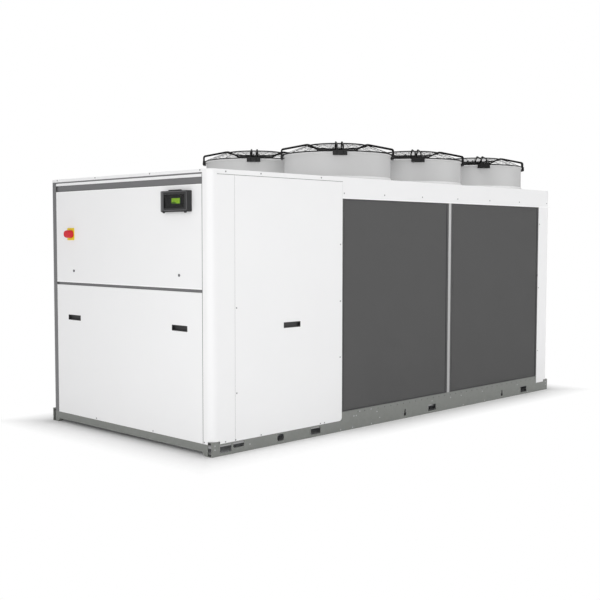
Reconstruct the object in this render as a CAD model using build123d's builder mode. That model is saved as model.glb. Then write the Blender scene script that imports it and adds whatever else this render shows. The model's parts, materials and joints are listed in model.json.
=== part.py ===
"""Air-cooled modular chiller: a channel base, a panelled plant compartment at one end,
finned coils along both long sides and six axial fans on the roof deck.

Millimetres, +Z up. +X runs along the length, away from the control end; the front long
side faces -Y. The origin is the centre of the bounding box, on the ground.
"""
import os
from math import cos, radians, sin

from build123d import *

os.makedirs("parts", exist_ok=True)

# Housing
LENGTH = 4800.0
WIDTH = 2200.0
ROOF_HEIGHT = 2155.0
CONTROL_PROJECTION = 50.0
SHEET = 3.0
PANEL = 25.0
SEAM = 2.0
SEAT_GAP = 0.3

# Base frame
RAIL_HEIGHT = 92.0
RAIL_WALL = 5.0
RAIL_FLANGE = 45.0
SHOE_LENGTH = 71.0
SHOE_HEIGHT = 113.0
SHOE_SLOPE = 12.0
END_RAIL_DEPTH = 62.0
HAUNCH = 32.0
CROSS_MEMBER_WIDTH = 60.0
CROSS_MEMBER_WALL = 4.0
CROSS_MEMBER_OFFSET = 250.0
FLOOR_SHEET = 3.0

# Openings in the side rails: distances from an end of the rail or from the plant section
FIRST_POCKET = 141.0
POCKET_BEFORE_COILS = 325.0
POCKET_UNDER_COILS = 1271.0
LAST_POCKET = 476.0
POCKET_WIDTH = 116.0
POCKET_HEIGHT = 58.0
POCKET_BOTTOM = 22.0
SLING_X = 273.0
SLING_WIDTH = 113.0
SLING_HEIGHT = 46.0
SLING_BOTTOM = 42.0
SLING_CORNER = 14.0
JACK_SHARE = 0.497
JACK_WIDTH = 74.0
JACK_HEIGHT = 54.0
JACK_BOTTOM = 25.0
JACK_CORNER = 16.0
KEYHOLE_UNDER_COILS = 862.0
LAST_KEYHOLE = 890.0
KEYHOLE_RADIUS = 17.0
KEYHOLE_BOTTOM = 23.0
KEYHOLE_NECK = 18.0
KEYHOLE_TOP = 84.0
FOOT_HOLE_RADIUS = 9.0
FOOT_HOLE_INSET = 25.0
END_FOOT_HOLE = 420.0
FOOT_HOLES_UNDER_COILS = (247.0, 1647.0)

# Corner posts
POST_SIDE_LEG = 237.0
COIL_POST_LEG = 228.0
POST_END_LEG = 97.0
POST_CORNER = 60.0

# Control end
SPLIT_BOTTOM = 1232.0
SPLIT_TOP = 1256.0
HEADER_DROP = 110.0
HEADER_HEIGHT = 53.0
CROSSBAR_RECESS = 12.0
CROSSBAR_DEPTH = 40.0
TRIM_HEIGHT = 38.0
TRIM_WALL = 6.0
GROOVE_DROP = 24.0
GROOVE_HEIGHT = 12.0
GROOVE_DEPTH = 4.0
PANEL_CORNER = 28.0

# Flush handles and locks
HANDLE_WIDTH = 188.0
HANDLE_HEIGHT = 45.0
HANDLE_CENTRE = 950.0
HANDLE_INSET = 372.0
SIDE_HANDLE_BEFORE_COILS = 602.0
HANDLE_RIM = 5.0
HANDLE_LIP = 1.5
HANDLE_CUP = 18.0
HANDLE_WALL = 2.0
LOCK_RADIUS = 11.0
LOCK_HEIGHT = 5.0
LOCK_SIDES = 8
LOCK_ABOVE_SPLIT = 101.0

# Main switch
SWITCH_INSET = 330.0
SWITCH_HEIGHT = 1676.0
SWITCH_PLATE = 106.0
SWITCH_PLATE_CORNER = 8.0
SWITCH_PLATE_THICKNESS = 4.0
SWITCH_KNOB_RADIUS = 36.0
SWITCH_KNOB_HEIGHT = 20.0
SWITCH_GRIP_LENGTH = 92.0
SWITCH_GRIP_WIDTH = 30.0

# Display
DISPLAY_INSET = 377.0
DISPLAY_DROP = 234.0
DISPLAY_WIDTH = 322.0
DISPLAY_HEIGHT = 160.0
DISPLAY_BOX_DEPTH = 32.0
DISPLAY_BOX_WALL = 4.0
DISPLAY_CORNER = 8.0
COVER_DEPTH = 12.0
COVER_GAP = 0.5
WINDOW_WIDTH = 250.0
WINDOW_HEIGHT = 104.0
WINDOW_THICKNESS = 3.0
SCREEN_WIDTH = 101.0
SCREEN_HEIGHT = 48.0
SCREEN_SHIFT = 26.0
BEZEL_WIDTH = 150.0
BEZEL_HEIGHT = 88.0
BEZEL_DEPTH = 8.0
SCREEN_THICKNESS = 2.0
HINGE_RADIUS = 4.0
HINGE_LEAF = 3.0
HINGE_REACH = 10.0
HINGE_KNUCKLE = 50.0
HINGE_PLAY = 0.5
COVER_KNOB_RADIUS = 9.0
COVER_KNOB_INSET = 30.0
COVER_KNOB_DEPTH = 14.0
COVER_KNOB_SIDES = 12

# Coil section
COIL_BOTTOM = 164.0
COIL_TOP_DROP = 179.0
COIL_RECESS = 14.0
COIL_THICKNESS = 86.0
COIL_TUBE_SHEET = 25.0
COIL_SHELF = 110.0
FIRST_COIL_LENGTH = 1505.0
DIVIDER_WIDTH = 53.0
DIVIDER_RECESS = 6.0
DIVIDER_DEPTH = 94.0
PARTITION = 20.0
HEADER_FLANGE = 60.0
DECK_GAP = 1.0

# Fans: two rows whose bells fill the width, with clearances round their flanges
FAN_COLUMNS = 3
FLANGE_TO_SIDE = 20.0
FLANGE_TO_ROOF = 3.0
FLANGE_TO_FLANGE = 34.0
FLANGE_TO_END = 96.0
BELL_SHEET = 4.0
BELL_FLARE = 36.0
BELL_FLANGE = 9.0
BELL_HEIGHT = 240.0
BELL_LIP = 9.0
BELL_LIP_HEIGHT = 18.0
TIP_CLEARANCE = 12.0
HUB_RADIUS = 98.0
HUB_HEIGHT = 165.0
BLADE_DROP = 42.0
BLADES = 5
BLADE_THICKNESS = 7.0
BLADE_CAMBER = 10.0
BLADE_OVERRUN = 15.0

# Fan guards
WIRE = 9.0
LEG_CLEARANCE = 21.0
LEG_BOTTOM = 206.0
LEG_BEND = 297.0
LEG_PEAK = 343.0
PEAK_RADIUS = 265.0
LEG_DIP = 293.0
DIP_RADIUS = 170.0
LEG_SPACING = 54.0
LEGS = 4
RIM_RING_INSET = 1.0
RING_SIDES = 24
SPINDLE_SIDES = 12
CLIP_WIDTH = 126.0
CLIP_THICKNESS = 14.0
STATOR_RADIUS = 112.0
STATOR_HEIGHT = 16.0
SPINDLE_RADIUS = 35.0
SPINDLE_LENGTH = 6.0

# Planes and limits that follow from the sizes above
FLANGE_RADIUS = WIDTH / 4 - FLANGE_TO_SIDE
BELL_RADIUS = FLANGE_RADIUS - BELL_FLANGE - BELL_FLARE
FAN_PITCH = 2 * FLANGE_RADIUS + FLANGE_TO_FLANGE
FAN_SPAN = FAN_PITCH * (FAN_COLUMNS - 1) + 2 * FLANGE_RADIUS
PLANT_LENGTH = LENGTH - FLANGE_TO_ROOF - FAN_SPAN - FLANGE_TO_END
LEFT = -(LENGTH - CONTROL_PROJECTION + HANDLE_LIP) / 2
RIGHT = LEFT + LENGTH
FRONT = -WIDTH / 2
REAR = WIDTH / 2
PLANT_RIGHT = LEFT + PLANT_LENGTH
DECK_BOTTOM = ROOF_HEIGHT - SHEET
HEADER_BOTTOM = ROOF_HEIGHT - HEADER_DROP
HEADER_TOP = HEADER_BOTTOM + HEADER_HEIGHT
TRIM_BOTTOM = ROOF_HEIGHT - TRIM_HEIGHT
GROOVE_TOP = ROOF_HEIGHT - GROOVE_DROP
COIL_TOP = ROOF_HEIGHT - COIL_TOP_DROP
COIL_RIGHT = RIGHT - COIL_POST_LEG
POCKET_X = (
    LEFT + FIRST_POCKET,
    PLANT_RIGHT - POCKET_BEFORE_COILS,
    PLANT_RIGHT + POCKET_UNDER_COILS,
    RIGHT - LAST_POCKET,
)
KEYHOLE_X = (PLANT_RIGHT + KEYHOLE_UNDER_COILS, RIGHT - LAST_KEYHOLE)
FOOT_HOLE_X = (
    LEFT + END_FOOT_HOLE,
    PLANT_RIGHT + FOOT_HOLES_UNDER_COILS[0],
    PLANT_RIGHT + FOOT_HOLES_UNDER_COILS[1],
    RIGHT - END_FOOT_HOLE,
)
SIDE_HANDLE_X = PLANT_RIGHT - SIDE_HANDLE_BEFORE_COILS
FIRST_FAN_X = PLANT_RIGHT + FLANGE_TO_ROOF + FLANGE_RADIUS
FAN_X = [FIRST_FAN_X + FAN_PITCH * column for column in range(FAN_COLUMNS)]
FAN_Y = (-WIDTH / 4, WIDTH / 4)
LEG_RADIUS = BELL_RADIUS + LEG_CLEARANCE
STATOR_BOTTOM = ROOF_HEIGHT + LEG_DIP - STATOR_HEIGHT / 2
HUB_TOP = STATOR_BOTTOM - SPINDLE_LENGTH - SEAT_GAP
TIP_RADIUS = BELL_RADIUS - BELL_SHEET - TIP_CLEARANCE
SWITCH_Y = REAR - SWITCH_INSET
DISPLAY_Y = FRONT + DISPLAY_INSET
DISPLAY_CENTRE = ROOF_HEIGHT - DISPLAY_DROP
DISPLAY_TOP = DISPLAY_CENTRE + DISPLAY_HEIGHT / 2
SCREEN_Y = DISPLAY_Y + SCREEN_SHIFT
HINGE_X = LEFT - DISPLAY_BOX_DEPTH - COVER_GAP / 2
HINGE_Z = DISPLAY_TOP + HINGE_RADIUS + HINGE_PLAY

# Viewing planes: each looks square at one side of the housing, x to the right or left
front_face = Plane((0, FRONT, 0), x_dir=(1, 0, 0), z_dir=(0, -1, 0))
control_face = Plane((LEFT, 0, 0), x_dir=(0, 1, 0), z_dir=(1, 0, 0))
far_face = Plane((RIGHT, 0, 0), x_dir=(0, 1, 0), z_dir=(1, 0, 0))


def area(x, y, mode=Mode.ADD, corner=0.0):
    """Rectangle between two values along each direction of the sketch."""
    width = abs(x[1] - x[0])
    height = abs(y[1] - y[0])
    with Locations(((x[0] + x[1]) / 2, (y[0] + y[1]) / 2)):
        if corner:
            RectangleRounded(width, height, corner, mode=mode)
        else:
            Rectangle(width, height, mode=mode)


def write(part, name):
    """Label a finished piece and write it to its own file."""
    part.label = name
    export_step(part, f"parts/{name}.step")


def mirrored(part):
    """The same piece on the other side of the machine."""
    with BuildPart() as twin:
        add(mirror(part, about=Plane.XZ, mode=Mode.PRIVATE))
    return twin.part


def both_sides(part):
    """A piece together with its twin on the other side."""
    with BuildPart() as pair:
        add(part)
        add(mirrored(part))
    return pair.part


# Side rails: channels with the web outside, shoes at both ends and lifting openings
shoe = (SHOE_LENGTH, SHOE_LENGTH + SHOE_SLOPE)
rail_outline = (
    (LEFT, 0),
    (RIGHT, 0),
    (RIGHT, SHOE_HEIGHT),
    (RIGHT - shoe[0], SHOE_HEIGHT),
    (RIGHT - shoe[1], RAIL_HEIGHT),
    (LEFT + shoe[1], RAIL_HEIGHT),
    (LEFT + shoe[0], SHOE_HEIGHT),
    (LEFT, SHOE_HEIGHT),
)
rail_hollow = (
    (LEFT, RAIL_WALL),
    (RIGHT, RAIL_WALL),
    (RIGHT, SHOE_HEIGHT - RAIL_WALL),
    (RIGHT - shoe[0], SHOE_HEIGHT - RAIL_WALL),
    (RIGHT - shoe[1], RAIL_HEIGHT - RAIL_WALL),
    (LEFT + shoe[1], RAIL_HEIGHT - RAIL_WALL),
    (LEFT + shoe[0], SHOE_HEIGHT - RAIL_WALL),
    (LEFT, SHOE_HEIGHT - RAIL_WALL),
)
with BuildPart() as side_rail_front:
    with BuildSketch(front_face):
        Polygon(*rail_outline, align=None)
    extrude(amount=-RAIL_WALL)
    with BuildSketch(front_face):
        Polygon(*rail_outline, align=None)
        Polygon(*rail_hollow, align=None, mode=Mode.SUBTRACT)
    extrude(amount=-RAIL_FLANGE)
    with BuildSketch(front_face):
        for x in POCKET_X:
            with Locations((x, POCKET_BOTTOM + POCKET_HEIGHT / 2)):
                Rectangle(POCKET_WIDTH, POCKET_HEIGHT)
        with Locations((LEFT + SLING_X, SLING_BOTTOM + SLING_HEIGHT / 2)):
            RectangleRounded(SLING_WIDTH, SLING_HEIGHT, SLING_CORNER)
        with Locations((LEFT + JACK_SHARE * PLANT_LENGTH, JACK_BOTTOM + JACK_HEIGHT / 2)):
            RectangleRounded(JACK_WIDTH, JACK_HEIGHT, JACK_CORNER)
        for x in KEYHOLE_X:
            neck_bottom = KEYHOLE_BOTTOM + KEYHOLE_RADIUS
            with Locations((x, neck_bottom)):
                Circle(KEYHOLE_RADIUS)
            area((x - KEYHOLE_NECK / 2, x + KEYHOLE_NECK / 2), (neck_bottom, KEYHOLE_TOP))
    extrude(amount=-RAIL_WALL, mode=Mode.SUBTRACT)
    with BuildSketch(Plane.XY):
        for x in FOOT_HOLE_X:
            with Locations((x, FRONT + FOOT_HOLE_INSET)):
                Circle(FOOT_HOLE_RADIUS)
    extrude(amount=RAIL_WALL, mode=Mode.SUBTRACT)
write(side_rail_front.part, "side_rail_front")
write(mirrored(side_rail_front.part), "side_rail_rear")

# End rails: channels between the side rails, with haunches down to the ground
rail_inside = REAR - RAIL_FLANGE
end_rail_bottom = RAIL_HEIGHT - END_RAIL_DEPTH


def end_rail_outline(inset):
    """Outline of an end rail, drawn in by a wall thickness."""
    return (
        (-rail_inside, inset),
        (-rail_inside + HAUNCH, inset),
        (-rail_inside + 2 * HAUNCH, end_rail_bottom + inset),
        (rail_inside - 2 * HAUNCH, end_rail_bottom + inset),
        (rail_inside - HAUNCH, inset),
        (rail_inside, inset),
        (rail_inside, RAIL_HEIGHT - inset),
        (-rail_inside, RAIL_HEIGHT - inset),
    )


with BuildPart() as end_rails:
    for face, inward in ((control_face, 1), (far_face, -1)):
        with BuildSketch(face):
            Polygon(*end_rail_outline(0), align=None)
        extrude(amount=inward * RAIL_WALL)
        with BuildSketch(face):
            Polygon(*end_rail_outline(0), align=None)
            Polygon(*end_rail_outline(RAIL_WALL), align=None, mode=Mode.SUBTRACT)
        extrude(amount=inward * RAIL_FLANGE)
write(end_rails.part, "end_rails")

# Cross members: channels open downwards, one each side of every pocket but the first
cross_member_x = [x + offset for x in POCKET_X[1:] for offset in (-CROSS_MEMBER_OFFSET, CROSS_MEMBER_OFFSET)]
half_width = CROSS_MEMBER_WIDTH / 2
half_hollow = half_width - CROSS_MEMBER_WALL
with BuildPart() as cross_members:
    with BuildSketch(Plane((0, -rail_inside, 0), x_dir=(1, 0, 0), z_dir=(0, -1, 0))):
        for x in cross_member_x:
            hollow_top = RAIL_HEIGHT - CROSS_MEMBER_WALL
            area((x - half_width, x + half_width), (end_rail_bottom, RAIL_HEIGHT))
            area((x - half_hollow, x + half_hollow), (end_rail_bottom, hollow_top), Mode.SUBTRACT)
    extrude(amount=-2 * rail_inside)
write(cross_members.part, "cross_members")

# Floor pan on the rail flanges
floor_inset = PANEL + SEAM
FLOOR_TOP = RAIL_HEIGHT + FLOOR_SHEET
with BuildPart() as floor_pan:
    with BuildSketch(Plane.XY.offset(RAIL_HEIGHT)):
        area((LEFT + floor_inset, RIGHT - floor_inset), (FRONT + floor_inset, REAR - floor_inset))
        for y in (FRONT, REAR):
            for x in (LEFT, RIGHT):
                with Locations((x, y)):
                    Rectangle(2 * (shoe[1] + SEAM), 2 * (RAIL_FLANGE + SEAM), mode=Mode.SUBTRACT)
    extrude(amount=FLOOR_SHEET)
write(floor_pan.part, "floor_pan")


def post_profile(x_end, x_leg, y_end, y_leg):
    """Angle section in plan with a rounded outer corner at (x_end, y_end)."""
    toward_x = 1 if x_leg > x_end else -1
    toward_y = 1 if y_leg > y_end else -1
    past_x = x_leg + 2 * toward_x * POST_CORNER
    past_y = y_leg + 2 * toward_y * POST_CORNER
    inner_x = x_end + toward_x * SHEET
    inner_y = y_end + toward_y * SHEET
    area((x_end, past_x), (y_end, past_y), corner=POST_CORNER)
    area((x_end, x_leg), (y_end, y_leg), Mode.INTERSECT)
    area((inner_x, past_x), (inner_y, past_y), Mode.SUBTRACT, POST_CORNER - SHEET)


def corner_post(x_end, x_leg, top):
    """A front corner post, notched round the shoe of the rail."""
    shoe_end = x_end + (shoe[1] + SEAM if x_leg > x_end else -shoe[1] - SEAM)
    with BuildPart() as post:
        with BuildSketch(Plane.XY.offset(RAIL_HEIGHT)):
            post_profile(x_end, x_leg, FRONT, FRONT + POST_END_LEG)
        extrude(amount=top - RAIL_HEIGHT)
        with BuildSketch(Plane.XY.offset(RAIL_HEIGHT)):
            area((x_end, shoe_end), (FRONT, FRONT + RAIL_FLANGE + SEAM))
        extrude(amount=SHOE_HEIGHT - RAIL_HEIGHT, mode=Mode.SUBTRACT)
    return post.part


# Corner posts: folded sheet with a rounded corner
write(both_sides(corner_post(LEFT, LEFT + POST_SIDE_LEG, TRIM_BOTTOM)), "plant_posts")
write(both_sides(corner_post(RIGHT, COIL_RIGHT, COIL_TOP)), "coil_posts")

# End panels with pockets for the flush handles, between the posts
panel_side = REAR - POST_END_LEG - SEAM
handle_y = REAR - HANDLE_INSET
pocket_width = HANDLE_WIDTH - 2 * HANDLE_RIM
pocket_height = HANDLE_HEIGHT - 2 * HANDLE_RIM


def end_panel(face, inward, bottom, top, pockets):
    """Flat double-skin panel on one end of the housing."""
    with BuildPart() as panel:
        with BuildSketch(face):
            area((-panel_side, panel_side), (bottom, top))
        extrude(amount=inward * PANEL)
        if pockets:
            with BuildSketch(face):
                with Locations((-handle_y, HANDLE_CENTRE), (handle_y, HANDLE_CENTRE)):
                    Rectangle(pocket_width, pocket_height)
            extrude(amount=inward * (HANDLE_CUP + SEAT_GAP), mode=Mode.SUBTRACT)
    return panel.part


write(end_panel(control_face, 1, RAIL_HEIGHT, SPLIT_BOTTOM, True), "end_panel_lower")
write(end_panel(control_face, 1, SPLIT_TOP, HEADER_BOTTOM, False), "end_panel_upper")
with BuildPart() as far_panels:
    add(end_panel(far_face, -1, RAIL_HEIGHT, SPLIT_BOTTOM, True))
    add(end_panel(far_face, -1, SPLIT_TOP, COIL_TOP, False))
write(far_panels.part, "far_panels")

# Recessed crossbars that show between the end panels
crossbar_side = REAR - POST_END_LEG
with BuildPart() as end_crossbars:
    for face, inward in ((control_face, 1), (far_face, -1)):
        with BuildSketch(face.offset(inward * CROSSBAR_RECESS)):
            area((-crossbar_side, crossbar_side), (SPLIT_BOTTOM, SPLIT_TOP))
            if inward > 0:
                area((-crossbar_side, crossbar_side), (HEADER_BOTTOM, HEADER_TOP))
        extrude(amount=inward * (CROSSBAR_DEPTH - CROSSBAR_RECESS))
write(end_crossbars.part, "end_crossbars")

# Side panels: the lower corner beside the coils is rounded
with BuildPart() as side_panel:
    panel_x = (LEFT + POST_SIDE_LEG + SEAM, PLANT_RIGHT - SEAM)
    with BuildSketch(front_face):
        area(panel_x, (RAIL_HEIGHT, TRIM_BOTTOM - SEAM))
        lower_corner = vertices().group_by(Axis.Z)[0].sort_by(Axis.X)[-1]
        fillet(lower_corner, PANEL_CORNER)
    extrude(amount=-PANEL)
    with BuildSketch(front_face):
        with Locations((SIDE_HANDLE_X, HANDLE_CENTRE)):
            Rectangle(pocket_width, pocket_height)
    extrude(amount=-(HANDLE_CUP + SEAT_GAP), mode=Mode.SUBTRACT)
write(both_sides(side_panel.part), "side_panels")


def flush_handle(face, inward, across):
    """Recessed handle: a thin rim on the panel and a cup in its pocket."""
    with BuildPart() as handle:
        with BuildSketch(face):
            with Locations((across, HANDLE_CENTRE)):
                Rectangle(HANDLE_WIDTH, HANDLE_HEIGHT)
        extrude(amount=-inward * HANDLE_LIP)
        with BuildSketch(face):
            with Locations((across, HANDLE_CENTRE)):
                Rectangle(pocket_width - 2 * SEAT_GAP, pocket_height - 2 * SEAT_GAP)
        extrude(amount=inward * HANDLE_CUP)
        with BuildSketch(face.offset(-inward * HANDLE_LIP)):
            with Locations((across, HANDLE_CENTRE)):
                Rectangle(pocket_width - 2 * HANDLE_WALL, pocket_height - 2 * HANDLE_WALL)
        extrude(amount=inward * (HANDLE_CUP + HANDLE_LIP - HANDLE_WALL), mode=Mode.SUBTRACT)
    return handle.part


rear_face = Plane((0, REAR, 0), x_dir=(1, 0, 0), z_dir=(0, -1, 0))
with BuildPart() as flush_handles:
    for y in (-handle_y, handle_y):
        add(flush_handle(control_face, 1, y))
        add(flush_handle(far_face, -1, y))
    add(flush_handle(front_face, -1, SIDE_HANDLE_X))
    add(flush_handle(rear_face, 1, SIDE_HANDLE_X))
write(flush_handles.part, "flush_handles")

# Quarter-turn locks of the upper end panel
with BuildPart() as panel_locks:
    with BuildSketch(control_face):
        lock_height = SPLIT_TOP + LOCK_ABOVE_SPLIT
        with Locations((-handle_y, lock_height), (handle_y, lock_height)):
            RegularPolygon(LOCK_RADIUS, LOCK_SIDES)
    extrude(amount=-LOCK_HEIGHT)
write(panel_locks.part, "panel_locks")

# Partition between the plant compartment and the fan plenum
with BuildPart() as partition_wall:
    with BuildSketch(Plane.XY.offset(FLOOR_TOP)):
        area((PLANT_RIGHT - PARTITION, PLANT_RIGHT), (FRONT + PANEL, REAR - PANEL))
    extrude(amount=DECK_BOTTOM - FLOOR_TOP)
write(partition_wall.part, "partition_wall")

# Roof cover of the plant compartment: a pan with a trim round three sides
with BuildPart() as roof_cover:
    for inset, base, top, mode in (
        (0, TRIM_BOTTOM, ROOF_HEIGHT, Mode.ADD),
        (TRIM_WALL, TRIM_BOTTOM, DECK_BOTTOM, Mode.SUBTRACT),
    ):
        with BuildSketch(Plane.XY.offset(base)) as plan:
            area((LEFT + inset, PLANT_RIGHT), (FRONT + inset, REAR - inset))
            fillet(plan.vertices().group_by(Axis.X)[0], POST_CORNER - inset)
        extrude(amount=top - base, mode=mode)
    with BuildSketch(control_face):
        area((-crossbar_side, crossbar_side), (HEADER_TOP, TRIM_BOTTOM))
    extrude(amount=PANEL)
    with BuildSketch(control_face):
        area((-crossbar_side, crossbar_side), (GROOVE_TOP - GROOVE_HEIGHT, GROOVE_TOP))
    extrude(amount=GROOVE_DEPTH, mode=Mode.SUBTRACT)
write(roof_cover.part, "roof_cover")

# Aprons under the coils: a face on the rail and a shelf that carries the coils
with BuildPart() as coil_apron:
    with BuildSketch(Plane((PLANT_RIGHT, 0, 0), x_dir=(0, 1, 0), z_dir=(1, 0, 0))):
        area((FRONT, FRONT + SHEET), (RAIL_HEIGHT, COIL_BOTTOM))
        area((FRONT, FRONT + COIL_SHELF), (COIL_BOTTOM - SHEET, COIL_BOTTOM))
    extrude(amount=COIL_RIGHT - PLANT_RIGHT)
write(both_sides(coil_apron.part), "coil_aprons")


def coil_block(left, right):
    """Fin block between two tube sheets that stand out towards the plenum."""
    outer = FRONT + COIL_RECESS
    inner = outer + COIL_THICKNESS
    with BuildPart() as block:
        with BuildSketch(Plane.XY.offset(COIL_BOTTOM)):
            area((left, right), (outer, inner - COIL_TUBE_SHEET / 2))
            area((left, left + COIL_TUBE_SHEET), (outer, inner))
            area((right - COIL_TUBE_SHEET, right), (outer, inner))
        extrude(amount=COIL_TOP - COIL_BOTTOM)
    return block.part


# Coils: two a side, with the aluminium divider between them
divider_left = PLANT_RIGHT + FIRST_COIL_LENGTH
divider_right = divider_left + DIVIDER_WIDTH
with BuildPart() as side_coils:
    add(coil_block(PLANT_RIGHT + SEAM, divider_left))
    add(coil_block(divider_right, COIL_RIGHT - SEAM))
write(both_sides(side_coils.part), "coils")

with BuildPart() as coil_divider:
    with BuildSketch(Plane.XY.offset(COIL_BOTTOM)):
        divider_face = FRONT + DIVIDER_RECESS
        area((divider_left, divider_right), (divider_face, divider_face + DIVIDER_DEPTH))
    extrude(amount=COIL_TOP - COIL_BOTTOM)
write(both_sides(coil_divider.part), "coil_dividers")

# Bands above the coils turn the corner over the posts; a flat band joins them at the far end
with BuildPart() as side_header:
    with BuildSketch(Plane.XY.offset(COIL_TOP)):
        post_profile(RIGHT, PLANT_RIGHT, FRONT, FRONT + POST_END_LEG)
    extrude(amount=ROOF_HEIGHT - COIL_TOP)
    with BuildSketch(Plane((PLANT_RIGHT, 0, 0), x_dir=(0, 1, 0), z_dir=(1, 0, 0))):
        area((FRONT, FRONT + COIL_SHELF), (COIL_TOP, COIL_TOP + SHEET))
        area((FRONT, FRONT + HEADER_FLANGE), (DECK_BOTTOM - SHEET, DECK_BOTTOM))
    extrude(amount=COIL_RIGHT - PLANT_RIGHT)
with BuildPart() as header_bands:
    add(both_sides(side_header.part))
    with BuildSketch(far_face):
        area((-crossbar_side + SEAM, crossbar_side - SEAM), (COIL_TOP, DECK_BOTTOM))
    extrude(amount=-PANEL)
write(header_bands.part, "header_bands")

# Fan deck: one sheet a column of fans, lying on the header flanges
bell_mouth = BELL_RADIUS + BELL_FLARE
deck_inset = SHEET + DECK_GAP
joint_x = [(a + b) / 2 for a, b in zip(FAN_X, FAN_X[1:])]
sheet_left = [PLANT_RIGHT + DECK_GAP] + [x + DECK_GAP for x in joint_x]
sheet_right = [x - DECK_GAP for x in joint_x] + [RIGHT - deck_inset]
with BuildPart() as fan_deck:
    with BuildSketch(Plane.XY.offset(DECK_BOTTOM)) as deck_plan:
        for left, right in zip(sheet_left, sheet_right):
            area((left, right), (FRONT + deck_inset, REAR - deck_inset))
        fillet(deck_plan.vertices().group_by(Axis.X)[-1], POST_CORNER - deck_inset)
        with Locations(*[(x, y) for x in FAN_X for y in FAN_Y]):
            Circle(bell_mouth, mode=Mode.SUBTRACT)
    extrude(amount=SHEET)
write(fan_deck.part, "fan_deck")

# Fan bell: a folded foot and flare, a straight wall and a lip
wall_in = BELL_RADIUS - BELL_SHEET
flare_top = BELL_SHEET + BELL_FLARE
lip_bottom = BELL_HEIGHT - BELL_LIP_HEIGHT
bend = 1 - cos(radians(45))
with BuildPart() as bell:
    with BuildSketch(Plane.XZ):
        Polygon(
            (FLANGE_RADIUS, 0),
            (FLANGE_RADIUS, BELL_SHEET),
            (bell_mouth, BELL_SHEET),
            (BELL_RADIUS + BELL_FLARE * bend, BELL_SHEET + BELL_FLARE * bend),
            (BELL_RADIUS, flare_top),
            (BELL_RADIUS, lip_bottom),
            (BELL_RADIUS + BELL_LIP, lip_bottom + BELL_LIP / 2),
            (BELL_RADIUS + BELL_LIP, BELL_HEIGHT),
            (wall_in, BELL_HEIGHT),
            (wall_in, flare_top),
            (wall_in + flare_top * bend, flare_top * bend),
            (bell_mouth, 0),
            align=None,
        )
    revolve(axis=Axis.Z)

# Fan guard: twin-wire legs on the diagonals, hooked clips on the rim, two rings, motor plate
leg_path = (
    (LEG_RADIUS, LEG_BOTTOM),
    (LEG_RADIUS, LEG_BEND),
    (PEAK_RADIUS, LEG_PEAK),
    (DIP_RADIUS, LEG_DIP),
    (STATOR_RADIUS - WIRE, LEG_DIP),
)
rim_ring = (BELL_RADIUS - RIM_RING_INSET, BELL_HEIGHT + SEAT_GAP)
peak_ring = (PEAK_RADIUS, LEG_PEAK - WIRE)
clip_inside = BELL_RADIUS + BELL_LIP + SEAT_GAP
clip_outside = clip_inside + CLIP_THICKNESS
hook_bottom = BELL_HEIGHT + SEAT_GAP
with BuildPart() as guard:
    for leg in range(LEGS):
        spoke = Plane.XY.rotated((0, 0, 360 * (leg + 0.5) / LEGS))
        for side in (-LEG_SPACING / 2, LEG_SPACING / 2):
            path_points = [spoke.from_local_coords((r, side, z)) for r, z in leg_path]
            with BuildLine() as wire_path:
                Polyline(*path_points)
            with BuildSketch(Plane(path_points[0], x_dir=spoke.x_dir, z_dir=(0, 0, 1))):
                Rectangle(WIRE, WIRE)
            sweep(path=wire_path.wire(), transition=Transition.RIGHT)
        with BuildSketch(Plane((0, 0, 0), x_dir=spoke.x_dir, z_dir=-spoke.y_dir)):
            area((clip_inside, clip_outside), (LEG_BOTTOM, hook_bottom + WIRE))
            area((rim_ring[0] - WIRE, clip_outside), (hook_bottom, hook_bottom + WIRE))
        extrude(amount=CLIP_WIDTH / 2, both=True)
    for ring_radius, ring_height in (rim_ring, peak_ring):
        with BuildSketch(Plane.XY.offset(ring_height)):
            RegularPolygon(ring_radius + WIRE / 2, RING_SIDES)
            RegularPolygon(ring_radius - WIRE / 2, RING_SIDES, mode=Mode.SUBTRACT)
        extrude(amount=WIRE)
    with BuildSketch(Plane.XY.offset(LEG_DIP - STATOR_HEIGHT / 2)):
        RegularPolygon(STATOR_RADIUS, RING_SIDES)
    extrude(amount=STATOR_HEIGHT)
    with BuildSketch(Plane.XY.offset(LEG_DIP - STATOR_HEIGHT / 2)):
        RegularPolygon(SPINDLE_RADIUS, SPINDLE_SIDES)
    extrude(amount=-SPINDLE_LENGTH)


# Fan rotor: motor drum with swept blades of falling pitch
BLADE_SECTIONS = (
    # radius, sweep in degrees, chord, pitch in degrees
    (HUB_RADIUS - BLADE_OVERRUN, 0.0, 150.0, 34.0),
    (280.0, 9.0, 210.0, 28.0),
    (TIP_RADIUS + BLADE_OVERRUN, 24.0, 235.0, 23.0),
)


def blade_section(radius, sweep_angle, chord, pitch):
    """Thin cambered section, square to the radius at its own sweep angle."""
    away = Vector(cos(radians(sweep_angle)), sin(radians(sweep_angle)), 0)
    along = Vector(-sin(radians(sweep_angle)), cos(radians(sweep_angle)), 0)
    chord_dir = along * cos(radians(pitch)) + Vector(0, 0, sin(radians(pitch)))
    with BuildSketch(Plane(away * radius, x_dir=chord_dir, z_dir=away)) as section:
        Polygon(
            (-chord / 2, -BLADE_THICKNESS / 2),
            (0, BLADE_CAMBER - BLADE_THICKNESS / 2),
            (chord / 2, -BLADE_THICKNESS / 2),
            (chord / 2, BLADE_THICKNESS / 2),
            (0, BLADE_CAMBER + BLADE_THICKNESS / 2),
            (-chord / 2, BLADE_THICKNESS / 2),
            align=None,
        )
    return section.sketch


with BuildPart() as blade:
    loft([blade_section(*section) for section in BLADE_SECTIONS], ruled=True)
    with BuildSketch(Plane.XY.offset(-HUB_HEIGHT)):
        Circle(TIP_RADIUS)
    extrude(amount=2 * HUB_HEIGHT, mode=Mode.INTERSECT)

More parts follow.
